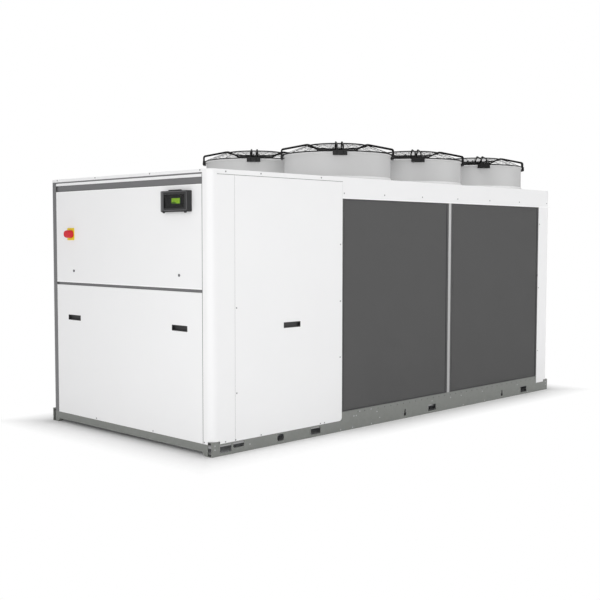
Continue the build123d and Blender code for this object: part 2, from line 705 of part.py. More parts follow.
with BuildPart() as rotor:
    with BuildSketch(Plane.XY.offset(-HUB_HEIGHT / 2)):
        Circle(HUB_RADIUS)
    extrude(amount=HUB_HEIGHT)
    with Locations((0, 0, -BLADE_DROP)):
        with PolarLocations(0, BLADES):
            add(blade.part)

fan_places = [(x, y) for y in FAN_Y for x in FAN_X]
for fan_number, (x, y) in enumerate(fan_places, start=1):
    with BuildPart() as fan_rotor:
        with Locations((x, y, HUB_TOP - HUB_HEIGHT / 2)):
            add(rotor.part)
    write(fan_rotor.part, f"fan_rotor_{fan_number}")
    with BuildPart() as fan_bell:
        with Locations((x, y, ROOF_HEIGHT)):
            add(bell.part)
    write(fan_bell.part, f"fan_bell_{fan_number}")
    with BuildPart() as fan_guard:
        with Locations((x, y, ROOF_HEIGHT)):
            add(guard.part)
    write(fan_guard.part, f"fan_guard_{fan_number}")

# Main switch: a plate and a knob with a grip across it
with BuildPart() as switch_plate:
    with BuildSketch(control_face):
        with Locations((SWITCH_Y, SWITCH_HEIGHT)):
            RectangleRounded(SWITCH_PLATE, SWITCH_PLATE, SWITCH_PLATE_CORNER)
    extrude(amount=-SWITCH_PLATE_THICKNESS)
write(switch_plate.part, "switch_plate")

with BuildPart() as switch_handle:
    with BuildSketch(control_face.offset(-SWITCH_PLATE_THICKNESS - SEAT_GAP)):
        with Locations((SWITCH_Y, SWITCH_HEIGHT)):
            Circle(SWITCH_KNOB_RADIUS)
    extrude(amount=-SWITCH_KNOB_HEIGHT)
    with BuildSketch(control_face.offset(-SWITCH_PLATE_THICKNESS - SEAT_GAP)):
        with Locations((SWITCH_Y, SWITCH_HEIGHT)):
            SlotOverall(SWITCH_GRIP_LENGTH, SWITCH_GRIP_WIDTH)
    extrude(amount=-(CONTROL_PROJECTION - SWITCH_PLATE_THICKNESS - SEAT_GAP))
write(switch_handle.part, "switch_handle")


def hinge_knuckle(middle, outward):
    """Barrel of the cover's hinge, with a leaf that reaches over the display's top."""
    end_plane = Plane((0, middle + HINGE_KNUCKLE / 2, 0), x_dir=(1, 0, 0), z_dir=(0, -1, 0))
    with BuildPart() as knuckle:
        with BuildSketch(end_plane):
            with Locations((HINGE_X, HINGE_Z)):
                Circle(HINGE_RADIUS)
            area((HINGE_X, HINGE_X + outward * HINGE_REACH), (DISPLAY_TOP, DISPLAY_TOP + HINGE_LEAF))
        extrude(amount=HINGE_KNUCKLE)
    return knuckle.part


# Display box on the upper end panel, open at its face
knuckle_step = HINGE_KNUCKLE + HINGE_PLAY
with BuildPart() as display_box:
    with BuildSketch(control_face):
        with Locations((DISPLAY_Y, DISPLAY_CENTRE)):
            RectangleRounded(DISPLAY_WIDTH, DISPLAY_HEIGHT, DISPLAY_CORNER)
    extrude(amount=-DISPLAY_BOX_DEPTH)
    with BuildSketch(control_face.offset(-DISPLAY_BOX_WALL)):
        with Locations((DISPLAY_Y, DISPLAY_CENTRE)):
            Rectangle(WINDOW_WIDTH, WINDOW_HEIGHT)
    extrude(amount=-DISPLAY_BOX_DEPTH, mode=Mode.SUBTRACT)
    add(hinge_knuckle(DISPLAY_Y - knuckle_step, 1))
    add(hinge_knuckle(DISPLAY_Y + knuckle_step, 1))
write(display_box.part, "display_box")

# Display module: a bezel on the back of the box with the lit screen on it
with BuildPart() as display_screen:
    with BuildSketch(control_face.offset(-DISPLAY_BOX_WALL)):
        with Locations((SCREEN_Y, DISPLAY_CENTRE)):
            Rectangle(BEZEL_WIDTH, BEZEL_HEIGHT)
    extrude(amount=-BEZEL_DEPTH)
    with BuildSketch(control_face.offset(-DISPLAY_BOX_WALL - BEZEL_DEPTH)):
        with Locations((SCREEN_Y, DISPLAY_CENTRE)):
            Rectangle(SCREEN_WIDTH, SCREEN_HEIGHT)
    extrude(amount=-SCREEN_THICKNESS)
write(display_screen.part, "display_screen")

# Hinged cover of the display: a frame with a window pane and two knobs at its lower edge
cover_back = control_face.offset(-DISPLAY_BOX_DEPTH - COVER_GAP)
with BuildPart() as display_cover:
    with BuildSketch(cover_back):
        with Locations((DISPLAY_Y, DISPLAY_CENTRE)):
            RectangleRounded(DISPLAY_WIDTH, DISPLAY_HEIGHT, DISPLAY_CORNER)
            Rectangle(WINDOW_WIDTH, WINDOW_HEIGHT, mode=Mode.SUBTRACT)
    extrude(amount=-COVER_DEPTH)
    knob_height = DISPLAY_CENTRE - DISPLAY_HEIGHT / 2
    knob_reach = DISPLAY_WIDTH / 2 - COVER_KNOB_INSET
    with BuildSketch(cover_back):
        with Locations((DISPLAY_Y - knob_reach, knob_height), (DISPLAY_Y + knob_reach, knob_height)):
            RegularPolygon(COVER_KNOB_RADIUS, COVER_KNOB_SIDES)
    extrude(amount=-COVER_KNOB_DEPTH)
    add(hinge_knuckle(DISPLAY_Y, -1))
write(display_cover.part, "display_cover")

with BuildPart() as display_window:
    with BuildSketch(cover_back.offset(-(COVER_DEPTH - WINDOW_THICKNESS) / 2)):
        with Locations((DISPLAY_Y, DISPLAY_CENTRE)):
            Rectangle(WINDOW_WIDTH, WINDOW_HEIGHT)
    extrude(amount=-WINDOW_THICKNESS)
write(display_window.part, "display_window")
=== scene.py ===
"""Finish of the modular chiller: paint, fins, wire guards, blades, fittings, camera and studio."""
import json
import math

import bpy
from mathutils import Matrix, Vector


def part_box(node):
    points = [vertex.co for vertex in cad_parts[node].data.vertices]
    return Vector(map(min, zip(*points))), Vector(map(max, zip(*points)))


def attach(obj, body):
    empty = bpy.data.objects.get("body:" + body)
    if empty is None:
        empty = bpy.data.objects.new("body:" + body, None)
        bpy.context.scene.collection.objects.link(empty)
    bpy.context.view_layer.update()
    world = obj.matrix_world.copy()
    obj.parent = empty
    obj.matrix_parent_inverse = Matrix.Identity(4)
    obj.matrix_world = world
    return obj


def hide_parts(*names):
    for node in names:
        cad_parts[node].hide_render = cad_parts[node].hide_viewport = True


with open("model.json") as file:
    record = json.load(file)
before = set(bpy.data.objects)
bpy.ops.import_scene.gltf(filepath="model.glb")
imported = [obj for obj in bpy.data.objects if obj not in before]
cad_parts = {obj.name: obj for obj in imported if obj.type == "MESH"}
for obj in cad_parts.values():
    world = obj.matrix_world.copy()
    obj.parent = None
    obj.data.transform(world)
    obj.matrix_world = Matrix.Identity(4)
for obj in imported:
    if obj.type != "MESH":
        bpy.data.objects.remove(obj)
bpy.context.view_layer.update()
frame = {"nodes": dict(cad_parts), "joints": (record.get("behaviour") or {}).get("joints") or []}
nodes = frame["nodes"]
HOUSING = "housing"

# Main planes of the machine, read from its own nodes
PANEL_LOW, PANEL_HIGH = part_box("end_panel_lower")
LEFT = PANEL_LOW.x
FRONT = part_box("side_rail_front")[0].y
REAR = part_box("side_rail_rear")[1].y
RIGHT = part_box("side_rail_front")[1].x
RAIL_TOP = PANEL_LOW.z
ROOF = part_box("roof_cover")[1].z
PLANT_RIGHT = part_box("roof_cover")[1].x
TRIM_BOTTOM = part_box("side_panels")[1].z + 0.002
BAND_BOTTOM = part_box("header_bands")[0].z
POST_EDGE = PANEL_HIGH.y + 0.001
SIDE_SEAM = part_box("side_panels")[0].x - 0.001
HEADER_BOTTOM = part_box("end_panel_upper")[1].z
SPLIT_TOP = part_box("end_panel_upper")[0].z
FAN_NUMBERS = range(1, 7)


class Value:
    """A shader socket that can stand in a Python expression."""

    def __init__(self, finish, socket):
        self.finish = finish
        self.socket = socket

    def maths(self, operation, first, second=0.0, third=0.0):
        return self.finish.node("ShaderNodeMath", {"operation": operation}, {0: first, 1: second, 2: third})

    def __add__(self, other):
        return self.maths("ADD", self, other)

    def __radd__(self, other):
        return self.maths("ADD", other, self)

    def __sub__(self, other):
        return self.maths("SUBTRACT", self, other)

    def __rsub__(self, other):
        return self.maths("SUBTRACT", other, self)

    def __mul__(self, other):
        return self.maths("MULTIPLY", self, other)

    def __rmul__(self, other):
        return self.maths("MULTIPLY", other, self)

    def __truediv__(self, other):
        return self.maths("DIVIDE", self, other)

    def __lt__(self, other):
        return self.maths("LESS_THAN", self, other)

    def __gt__(self, other):
        return self.maths("GREATER_THAN", self, other)

    def __neg__(self):
        return self.maths("MULTIPLY", self, -1.0)

    def __mod__(self, other):
        return self.maths("FLOORED_MODULO", self, other)

    def __abs__(self):
        return self.maths("ABSOLUTE", self)

    def clamped(self):
        return self.maths("MINIMUM", self.maths("MAXIMUM", self, 0.0), 1.0)


class Finish:
    """A material built from expressions: constants go on the shader, links on what varies."""

    def __init__(self, name, **constants):
        self.material = bpy.data.materials.new(name)
        self.material.use_nodes = True
        self.tree = self.material.node_tree
        self.shader = self.tree.nodes["Principled BSDF"]
        for key, value in constants.items():
            socket = self.socket(key)
            socket.default_value = (*value, 1.0) if isinstance(value, tuple) else value

    def socket(self, key):
        """Shader input of a keyword: base_color is the socket Base Color."""
        return self.shader.inputs[key.replace("_", " ").title().replace("Ior", "IOR")]

    def node(self, kind, settings=None, values=None, output=0):
        """Any node: its settings first, then the values or links of its sockets."""
        made = self.tree.nodes.new(kind)
        for key, value in (settings or {}).items():
            if key == "stops":
                ramp = made.color_ramp
                while len(ramp.elements) < len(value):
                    ramp.elements.new(0.5)
                for element, (place, shade) in zip(ramp.elements, value):
                    element.position = place
                    element.color = (*shade, 1.0) if isinstance(shade, tuple) else (shade, shade, shade, 1.0)
            else:
                setattr(made, key, value)
        for key, value in (values or {}).items():
            socket = made.inputs[key]
            if isinstance(value, Value):
                self.tree.links.new(value.socket, socket)
            elif isinstance(value, tuple) and len(value) == 3 and socket.type == "RGBA":
                socket.default_value = (*value, 1.0)
            else:
                socket.default_value = value
        return Value(self, made.outputs[output])

    def place(self):
        """Object coordinates, in metres in the machine's own frame."""
        return self.node("ShaderNodeTexCoord", output="Object")

    def axes(self):
        split = self.node("ShaderNodeSeparateXYZ", values={0: self.place()})
        outputs = split.socket.node.outputs
        return [Value(self, outputs[axis]) for axis in range(3)]

    def stretched(self, x, y, z):
        return self.node("ShaderNodeVectorMath", {"operation": "MULTIPLY"}, {0: self.place(), 1: (x, y, z)})

    def noise(self, scale, detail=3.0, roughness=0.55, at=None):
        values = {"Vector": at or self.place(), "Scale": scale, "Detail": detail, "Roughness": roughness}
        return self.node("ShaderNodeTexNoise", values=values)

    def flakes(self, scale):
        """Random level of each flake of zinc spangle."""
        settings = {"feature": "F1"}
        cells = self.node("ShaderNodeTexVoronoi", settings, {"Vector": self.place(), "Scale": scale}, "Color")
        return self.node("ShaderNodeSeparateColor", values={0: cells})

    def mix(self, factor, first, second):
        return self.node("ShaderNodeMix", {"data_type": "RGBA"}, {0: factor, 6: first, 7: second}, output=2)

    def set(self, **links):
        for key, value in links.items():
            self.tree.links.new(value.socket, self.socket(key))

    def bump(self, height, strength, distance):
        values = {"Height": height, "Strength": strength, "Distance": distance}
        self.set(normal=self.node("ShaderNodeBump", values=values))


def grey(level):
    return (level, level, level)


def powder_coat(name, shade, roughness=0.42, dust=0.03):
    """Smooth powder coat: faint orange peel, slight tone drift and a little dust low down."""
    finish = Finish(name, roughness=roughness, specular_ior_level=0.4)
    z = finish.axes()[2]
    drift = finish.noise(1.7, 4.0)
    low = (1.0 - z * 1.6).clamped() * finish.noise(9.0, 5.0) * dust
    clean = tuple(level * 1.012 for level in shade)
    worn = tuple(level * 0.985 for level in shade)
    tone = finish.mix(drift, clean, worn)
    finish.set(base_color=finish.mix(low.clamped(), tone, (0.42, 0.40, 0.36)))
    finish.set(roughness=finish.noise(6.0, 3.0) * 0.10 + (roughness - 0.05))
    finish.bump(finish.noise(420.0, 2.0), 0.08, 0.0006)
    return finish.material


def two_tone_post():
    """Corner posts of the plant section: white, but the rear one is dark towards the control end."""
    finish = Finish("post_two_tone", roughness=0.42, specular_ior_level=0.4)
    x, y, z = finish.axes()
    dark = (x < LEFT + 0.060) * (y > POST_EDGE - 0.002) * (z < ROOF - 0.024)
    drift = finish.noise(2.0, 4.0) * 0.2
    tone = finish.mix(drift, WHITE_SHADE, grey(0.82))
    finish.set(base_color=finish.mix(dark, tone, DARK_SHADE))
    finish.bump(finish.noise(420.0, 2.0), 0.08, 0.0006)
    return finish.material


def base_paint():
    """Greenish grey coat over galvanised steel: the spangle shows through faintly."""
    finish = Finish("base_paint", roughness=0.48, specular_ior_level=0.45)
    flakes = finish.flakes(38.0)
    cloud = finish.noise(5.0, 5.0, 0.6)
    tone = finish.mix((flakes * 0.35 + cloud * 0.65).clamped(), (0.185, 0.193, 0.180), (0.222, 0.230, 0.217))
    scuffs = (finish.noise(60.0, 6.0, 0.7) - 0.62).clamped() * 1.2
    finish.set(base_color=finish.mix(scuffs.clamped(), tone, (0.32, 0.33, 0.31)))
    finish.set(roughness=cloud * 0.22 + 0.36)
    finish.bump(finish.noise(160.0, 3.0), 0.12, 0.0008)
    return finish.material


def galvanised():
    finish = Finish("galvanised", metallic=0.85, roughness=0.42)
    flakes = finish.flakes(55.0)
    finish.set(base_color=finish.mix(flakes, (0.42, 0.44, 0.46), (0.58, 0.60, 0.62)))
    finish.set(roughness=flakes * 0.16 + 0.34)
    finish.bump(finish.noise(90.0, 4.0), 0.10, 0.0008)
    return finish.material


def fin_core_depth_shade():
    """Coil core behind its fins, painted dark as shade for the coil's depth, with rows for its tubes."""
    finish = Finish("fin_core_depth_shade", roughness=0.6, specular_ior_level=0.3)
    z = finish.axes()[2]
    tubes = abs(z % TUBE_PITCH - TUBE_PITCH / 2) / (TUBE_PITCH / 2)
    finish.set(base_color=finish.mix(tubes, grey(0.075), grey(0.105)))
    finish.bump(tubes, 0.3, 0.002)
    return finish.material


def fin_metal():
    """Coated fin edges with dust and small bent patches."""
    finish = Finish("fin_metal", metallic=0.25, roughness=0.55, specular_ior_level=0.35)
    cloud = finish.noise(3.0, 6.0, 0.62)
    bent = (finish.noise(22.0, 5.0, 0.7, finish.stretched(1.6, 1.6, 0.7)) - 0.62).clamped() * 2.0
    tone = finish.mix(cloud, grey(0.168), grey(0.192))
    finish.set(base_color=finish.mix(bent.clamped(), tone, grey(0.150)))
    finish.set(roughness=cloud * 0.2 + 0.45)
    finish.bump(finish.noise(300.0, 2.0), 0.1, 0.0006)
    return finish.material


def rolled_aluminium():
    finish = Finish("rolled_aluminium", metallic=0.55, roughness=0.42)
    grain = finish.noise(60.0, 4.0, 0.6, finish.stretched(14.0, 14.0, 0.5))
    finish.set(base_color=finish.mix(grain, grey(0.37), grey(0.46)))
    finish.set(roughness=grain * 0.2 + 0.34)
    finish.bump(grain, 0.15, 0.0006)
    return finish.material


def bell_plastic():
    """Moulded light grey plastic with a faint pull grain up the wall."""
    finish = Finish("bell_plastic", roughness=0.46, specular_ior_level=0.42)
    z = finish.axes()[2]
    cloud = finish.noise(4.0, 5.0, 0.6)
    streaks = finish.noise(10.0, 4.0, 0.6, finish.stretched(3.0, 3.0, 0.4))
    wall = finish.mix(cloud, grey(0.520), grey(0.565))
    foot = z < ROOF + 0.030
    grime = (1.0 - (z - ROOF) * 14.0).clamped() * streaks * 0.25
    tone = finish.mix(foot, wall, WHITE_SHADE)
    finish.set(base_color=finish.mix(grime.clamped(), tone, (0.50, 0.49, 0.47)))
    finish.set(roughness=streaks * 0.18 + 0.38)
    finish.bump(finish.noise(260.0, 3.0), 0.10, 0.0008)
    return finish.material


def black_wire():
    finish = Finish("black_wire", roughness=0.38, specular_ior_level=0.18)
    cloud = finish.noise(18.0, 4.0)
    finish.set(base_color=finish.mix(cloud, grey(0.007), grey(0.014)))
    finish.set(roughness=cloud * 0.2 + 0.28)
    finish.bump(finish.noise(500.0, 2.0), 0.12, 0.0005)
    return finish.material


def moulded(name, shade, roughness=0.45, grain=600.0, depth=0.0004):
    """Moulded plastic with a fine grain."""
    finish = Finish(name, roughness=roughness, specular_ior_level=0.5)
    cloud = finish.noise(22.0, 4.0)
    finish.set(base_color=finish.mix(cloud, shade, tuple(level * 1.18 for level in shade)))
    finish.set(roughness=cloud * 0.14 + (roughness - 0.07))
    finish.bump(finish.noise(grain, 2.0), 0.2, depth)
    return finish.material


def smoked_window():
    finish = Finish("smoked_window", roughness=0.06, alpha=0.45, specular_ior_level=0.4)
    smears = finish.noise(30.0, 5.0, 0.65)
    finish.set(base_color=finish.mix(smears, grey(0.012), grey(0.03)))
    finish.set(roughness=smears * 0.10 + 0.03)
    return finish.material


def lit_screen():
    """Lit display: bright ground, rows of short dark bars and a chart."""
    finish = Finish("lit_screen", roughness=0.3)
    low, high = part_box("display_screen")
    y, z = finish.axes()[1:]
    centre_y = (low.y + high.y) / 2 + SCREEN_ASIDE
    centre_z = (low.z + high.z) / 2 + SCREEN_RISE
    across = (y - (centre_y - SCREEN_HALF_WIDTH)) / (2 * SCREEN_HALF_WIDTH)
    up = (z - (centre_z - SCREEN_HALF_HEIGHT)) / (2 * SCREEN_HALF_HEIGHT)
    rows = (up * 5.0) % 1.0 > 0.55
    words = finish.noise(120.0, 1.0, 0.5, finish.stretched(0.0, 1.0, 0.35)) > 0.52
    chart = (up < 0.42 - abs(across - 0.74) * 0.9) * (across > 0.42)
    ink = ((rows * words) * (across < 0.94) * (across > 0.30) * (up > 0.55) + chart).clamped() * 0.8
    ground = finish.mix(finish.noise(40.0, 2.0), (0.30, 0.62, 0.02), (0.40, 0.72, 0.03))
    picture = finish.mix(ink, ground, (0.02, 0.10, 0.0))
    finish.set(base_color=picture, emission_color=picture)
    finish.shader.inputs["Emission Strength"].default_value = 1.6
    return finish.material


TUBE_PITCH = 0.0096
SCREEN_HALF_WIDTH = 0.0500
SCREEN_HALF_HEIGHT = 0.0205
SCREEN_ASIDE = -0.011
SCREEN_RISE = 0.004
WHITE_SHADE = (0.855, 0.855, 0.860)
DARK_SHADE = (0.165, 0.165, 0.170)

WHITE = powder_coat("white_coat", WHITE_SHADE)
# Dark grey coat: on the end crossbars it is partly their own dark seal and partly painted shade of their
# recess; it also paints the shadow strip in the roof trim's recess
DARK = powder_coat("dark_coat_and_recess_shade", DARK_SHADE, roughness=0.5)
POST = two_tone_post()
BASE = base_paint()
ZINC = galvanised()
# Coil core: painted dark as shade for the depth behind the fins
CORE_DEPTH_SHADE = fin_core_depth_shade()
FINS = fin_metal()
ALUMINIUM = rolled_aluminium()
BELL = bell_plastic()
WIRE = black_wire()
ROTOR = moulded("rotor_plastic", (0.045, 0.046, 0.050), 0.42)
DRUM = moulded("motor_drum", (0.030, 0.030, 0.032), 0.35)
BLACK = moulded("black_plastic", (0.016, 0.016, 0.017), 0.50)
# Dark rubber for the display keys; also the painted shade inside each apron hole
SEAL_AND_HOLE_SHADE = moulded("rubber_and_hole_shade", (0.030, 0.030, 0.030), 0.75)
YELLOW = moulded("yellow_plastic", (0.72, 0.56, 0.015), 0.40)
RED = moulded("red_plastic", (0.56, 0.006, 0.018), 0.42)
LOCK = moulded("lock_metal", (0.10, 0.10, 0.11), 0.35)
SCREW = moulded("screw_zinc", (0.16, 0.16, 0.165), 0.40)
BRIGHT = moulded("rivet_zinc", (0.42, 0.43, 0.43), 0.38)
# Dark grey for the panel seals, and for the painted shadow line under the roof trim
GASKET_AND_SHADOW_LINE = moulded("panel_gasket_and_shadow_line", (0.12, 0.12, 0.12), 0.75)
FRAME_DARK = moulded("coil_frame_coat", (0.045, 0.045, 0.046), 0.5)
# Dark grey plastic for the window bead; also the hinge-edge strip, whose paleness is a painted highlight
BEAD_AND_EDGE_HIGHLIGHT = moulded("bead_and_edge_highlight_plastic", (0.105, 0.105, 0.108), 0.40)
# Brighter white for the folded panel edges: a painted highlight
EDGE = powder_coat("folded_edge_highlight", grey(0.965))
WINDOW = smoked_window()
SCREEN = lit_screen()

NODE_FINISH = {
    "side_rail_front": BASE, "side_rail_rear": BASE, "end_rails": BASE, "coil_aprons": BASE,
    "cross_members": ZINC, "floor_pan": ZINC, "partition_wall": ZINC,
    "plant_posts": POST, "coil_posts": WHITE, "end_panel_lower": WHITE, "end_panel_upper": WHITE,
    "far_panels": WHITE, "side_panels": WHITE, "roof_cover": POST, "fan_deck": WHITE, "header_bands": WHITE,
    # coils take the core painted dark as depth shade
    # end crossbars take the dark coat, partly painted shade of their recess
    "end_crossbars": DARK, "coils": CORE_DEPTH_SHADE, "coil_dividers": ALUMINIUM,
    "flush_handles": BLACK, "panel_locks": LOCK, "switch_plate": YELLOW, "switch_handle": RED,
    "display_box": BLACK, "display_cover": BLACK, "display_window": WINDOW, "display_screen": BLACK,
}
for number in FAN_NUMBERS:
    NODE_FINISH[f"fan_bell_{number}"] = BELL
    NODE_FINISH[f"fan_rotor_{number}"] = ROTOR
    NODE_FINISH[f"fan_guard_{number}"] = WIRE
for node_name, material in NODE_FINISH.items():
    slots = nodes[node_name].data.materials
    slots.clear()
    slots.append(material)


class Shape:
    """Vertices and faces gathered for one piece."""

    def __init__(self):
        self.points = []
        self.faces = []

    def patch(self, rows, closed_u=False, closed_v=False):
        """Quads over a grid of points: rows run along u, and each row along v."""
        start = len(self.points)
        across = len(rows[0])
        for row in rows:
            self.points.extend(row)
        last_u = len(rows) if closed_u else len(rows) - 1
        last_v = across if closed_v else across - 1
        for u in range(last_u):
            for v in range(last_v):
                next_u = (u + 1) % len(rows)
                next_v = (v + 1) % across
                corners = (u * across + v, u * across + next_v, next_u * across + next_v, next_u * across + v)
                self.faces.append([start + corner for corner in corners])

    def lid(self, ring):
        start = len(self.points)
        self.points.extend(ring)
        self.faces.append(list(range(start, start + len(ring))))

    def tube(self, path, radius, sides=8, closed=False):
        """Round wire along a path, with caps at open ends."""
        path = [Vector(point) for point in path]
        count = len(path)
        rows = []
        side_dir = None
        for index, point in enumerate(path):
            before = path[index - 1] if closed or index else point
            after = path[(index + 1) % count] if closed or index < count - 1 else point
            along = (after - before).normalized()
            if side_dir is None:
                reference = Vector((0, 0, 1)) if abs(along.z) < 0.9 else Vector((1, 0, 0))
                side_dir = along.cross(reference).normalized()
            side_dir = (side_dir - along * side_dir.dot(along)).normalized()
            up_dir = along.cross(side_dir)
            ring = []
            for side in range(sides):
                angle = 2 * math.pi * side / sides
                ring.append(point + (side_dir * math.cos(angle) + up_dir * math.sin(angle)) * radius)
            rows.append(ring)
        self.patch(rows, closed_u=closed, closed_v=True)
        if not closed:
            self.lid(list(reversed(rows[0])))
            self.lid(rows[-1])

    def lathe(self, centre, profile, steps, axis=Vector((0, 0, 1))):
        """Profile of (radius, height) turned about an axis through the centre."""
        turn = Vector((0, 0, 1)).rotation_difference(axis).to_matrix()
        rows = []
        for step in range(steps):
            angle = 2 * math.pi * step / steps
            spoke = Vector((math.cos(angle), math.sin(angle), 0))
            rows.append([centre + turn @ (spoke * r + Vector((0, 0, h))) for r, h in profile])
        self.patch(rows, closed_u=True)

    def block(self, low, high, bevel=0.0):
        """Box with small chamfers along its upright edges."""
        low, high = Vector(low), Vector(high)
        plan = [
            (low.x + bevel, low.y), (high.x - bevel, low.y),
            (high.x, low.y + bevel), (high.x, high.y - bevel),
            (high.x - bevel, high.y), (low.x + bevel, high.y),
            (low.x, high.y - bevel), (low.x, low.y + bevel),
        ]
        rows = [[Vector((x, y, z)) for x, y in plan] for z in (low.z, high.z)]
        self.patch(rows, closed_v=True)
        self.lid(list(reversed(rows[0])))
        self.lid(rows[1])

    def strip(self, low, high):
        """Plain bar between two corners."""
        x0, y0, z0 = low
        x1, y1, z1 = high
        start = len(self.points)
        plan = ((x0, y0), (x1, y0), (x1, y1), (x0, y1))
        self.points.extend(Vector((x, y, z)) for z in (z0, z1) for x, y in plan)
        sides = ((0, 3, 2, 1), (4, 5, 6, 7), (0, 1, 5, 4), (1, 2, 6, 5), (2, 3, 7, 6), (3, 0, 4, 7))
        self.faces.extend([[start + corner for corner in side] for side in sides])

    def piece(self, name, material, body=HOUSING, smooth=True, replaces=()):
        mesh = bpy.data.meshes.new(name)
        mesh.from_pydata([tuple(point) for point in self.points], [], self.faces)
        mesh.materials.append(material)
        mesh.update()
        made = bpy.data.objects.new(name, mesh)
        bpy.context.scene.collection.objects.link(made)
        if smooth:
            mesh.shade_smooth()
            mesh.set_sharp_from_angle(angle=math.radians(38))
        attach(made, body)
        if replaces:
            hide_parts(*replaces)
        return made


# Fans: centres from their joints, the rim's height from a bell
def fan_centre(number):
    joint = [j for j in frame["joints"] if j["child"] == f"fan_rotor_{number}"][0]
    return Vector((joint["pos_m"][0], joint["pos_m"][1], 0.0))


FAN_CENTRES = {number: fan_centre(number) for number in FAN_NUMBERS}
ROWS = {"front": (1, 2, 3), "rear": (4, 5, 6)}
BELL_RADIUS = 0.485
BELL_SHEET = 0.004
BELL_FLARE = 0.036
BELL_FLANGE = 0.009
BELL_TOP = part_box("fan_bell_1")[1].z


def bell_profile():
    """Section of a bell from its flange, up the wall, over the lip and down inside."""
    base = ROOF
    profile = [(BELL_RADIUS + BELL_FLARE + BELL_FLANGE, base + 0.0004)]
    profile.append((BELL_RADIUS + BELL_FLARE + BELL_FLANGE, base + BELL_SHEET))
    steps = 10
    for step in range(steps + 1):
        angle = math.pi / 2 * step / steps
        r = BELL_RADIUS + BELL_FLARE * (1 - math.sin(angle))
        profile.append((r, base + BELL_SHEET + BELL_FLARE * (1 - math.cos(angle))))
    lip_top = BELL_TOP
    profile.append((BELL_RADIUS, lip_top - 0.022))
    lip_steps = 8
    lip_radius = 0.0085
    for step in range(lip_steps + 1):
        angle = -math.pi / 2 + math.pi * step / lip_steps
        lip_height = lip_top - lip_radius + lip_radius * math.sin(angle)
        profile.append((BELL_RADIUS + lip_radius * math.cos(angle), lip_height))
    profile.append((BELL_RADIUS - BELL_SHEET + 0.001, lip_top - 0.0005))
    profile.append((BELL_RADIUS - BELL_SHEET, lip_top - 0.004))
    inner = BELL_RADIUS - BELL_SHEET
    for step in range(steps + 1):
        angle = math.pi / 2 * (1 - step / steps)
        r = inner + (BELL_FLARE + BELL_SHEET) * (1 - math.sin(angle))
        profile.append((r, base + 0.0002 + (BELL_FLARE + BELL_SHEET) * (1 - math.cos(angle))))
    return profile


def make_bells(row, numbers):
    shape = Shape()
    for number in numbers:
        shape.lathe(FAN_CENTRES[number], bell_profile(), 144)
    solids = [f"fan_bell_{number}" for number in numbers]
    shape.piece(f"smooth_bells_{row}", BELL, replaces=solids)


def ring_points(centre, radius, height, steps=96):
    points = []
    for step in range(steps):
        angle = 2 * math.pi * step / steps
        points.append(centre + Vector((radius * math.cos(angle), radius * math.sin(angle), height)))
    return points


GUARD_LEG = [(0.511, 2.361), (0.511, 2.438), (0.508, 2.447), (0.500, 2.454), (0.290, 2.4940), (0.270, 2.4955),
             (0.252, 2.491), (0.185, 2.457), (0.168, 2.4485), (0.150, 2.446), (0.100, 2.446)]
LEG_HALF_SPACING = 0.027
LEG_WIRE = 0.0070
RING_WIRE = 0.0055
FINE_WIRE = 0.0012
SPOKE_WIRE = 0.0014
GUARD_TURNS = [math.radians(45 + 90 * leg) for leg in range(4)]
RING_STEP = 0.036
OUTER_RING = (0.483, 2.4010)
UPPER_RING = (0.267, 2.4835)


def guard_height(radius):
    """Height of the fine rings: a shallow cone up to the upper ring and a dish inside it."""
    outer_r, outer_z = OUTER_RING
    upper_r, upper_z = UPPER_RING
    if radius > upper_r:
        share = max(0.0, outer_r - radius) / (outer_r - upper_r)
        return outer_z + (upper_z - outer_z) * share ** 0.85
    share = (upper_r - radius) / (upper_r - 0.110)
    return upper_z + (2.448 - upper_z) * share ** 0.9


def make_guards(row, numbers):
    shape = Shape()
    for number in numbers:
        centre = FAN_CENTRES[number]
        for turn in GUARD_TURNS:
            away = Vector((math.cos(turn), math.sin(turn), 0))
            aside = Vector((-math.sin(turn), math.cos(turn), 0))
            for side in (-LEG_HALF_SPACING, LEG_HALF_SPACING):
                path = [centre + away * r + aside * side + Vector((0, 0, z)) for r, z in GUARD_LEG]
                shape.tube(path, LEG_WIRE, 10)
        shape.tube(ring_points(centre, *OUTER_RING), RING_WIRE, 8, closed=True)
        shape.tube(ring_points(centre, *UPPER_RING), RING_WIRE, 8, closed=True)
        radius = OUTER_RING[0] - RING_STEP
        while radius > 0.125:
            if abs(radius - UPPER_RING[0]) > 0.012:
                shape.tube(ring_points(centre, radius, guard_height(radius), 80), FINE_WIRE, 5, closed=True)
            radius -= RING_STEP
        spokes = 16
        for spoke in range(spokes):
            turn = 2 * math.pi * (spoke + 0.5) / spokes
            away = Vector((math.cos(turn), math.sin(turn), 0))
            stations = [0.484 - 0.0305 * step for step in range(13)]
            path = [centre + away * r + Vector((0, 0, guard_height(max(r, 0.1)) + 0.0045)) for r in stations]
            shape.tube(path, SPOKE_WIRE, 6)
    solids = [f"fan_guard_{number}" for number in numbers]
    shape.piece(f"wire_guards_{row}", WIRE, replaces=solids)


